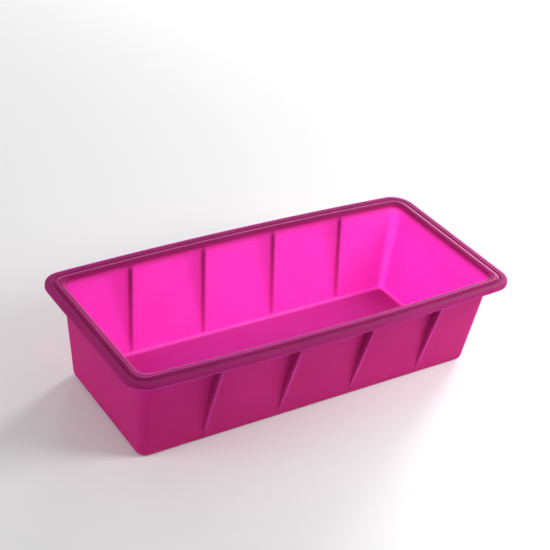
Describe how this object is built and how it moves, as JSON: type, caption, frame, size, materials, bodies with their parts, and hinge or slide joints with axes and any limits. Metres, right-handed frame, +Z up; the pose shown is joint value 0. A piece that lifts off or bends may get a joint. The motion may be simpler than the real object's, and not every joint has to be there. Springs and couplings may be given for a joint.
{
  "type": "soap loaf mould",
  "caption": "Rectangular silicone loaf mould with tapered walls, a thick flanged rim stiffened by an embedded wire ring, and tapered ribs outside its long walls.",
  "frame": {"origin": "centre of the base, on the surface that the mould stands on", "axes": "+X along the mould's length, +Y across its width, +Z up out of its open mouth"},
  "size_m": [0.27, 0.129, 0.065],
  "materials": {
    "silicone": "satin translucent pink silicone",
    "wire_steel": "drawn steel wire"
  },
  "bodies": {
    "root": {"mould_body": "silicone", "rim_wire": "wire_steel"}
  },
  "joints": []
}
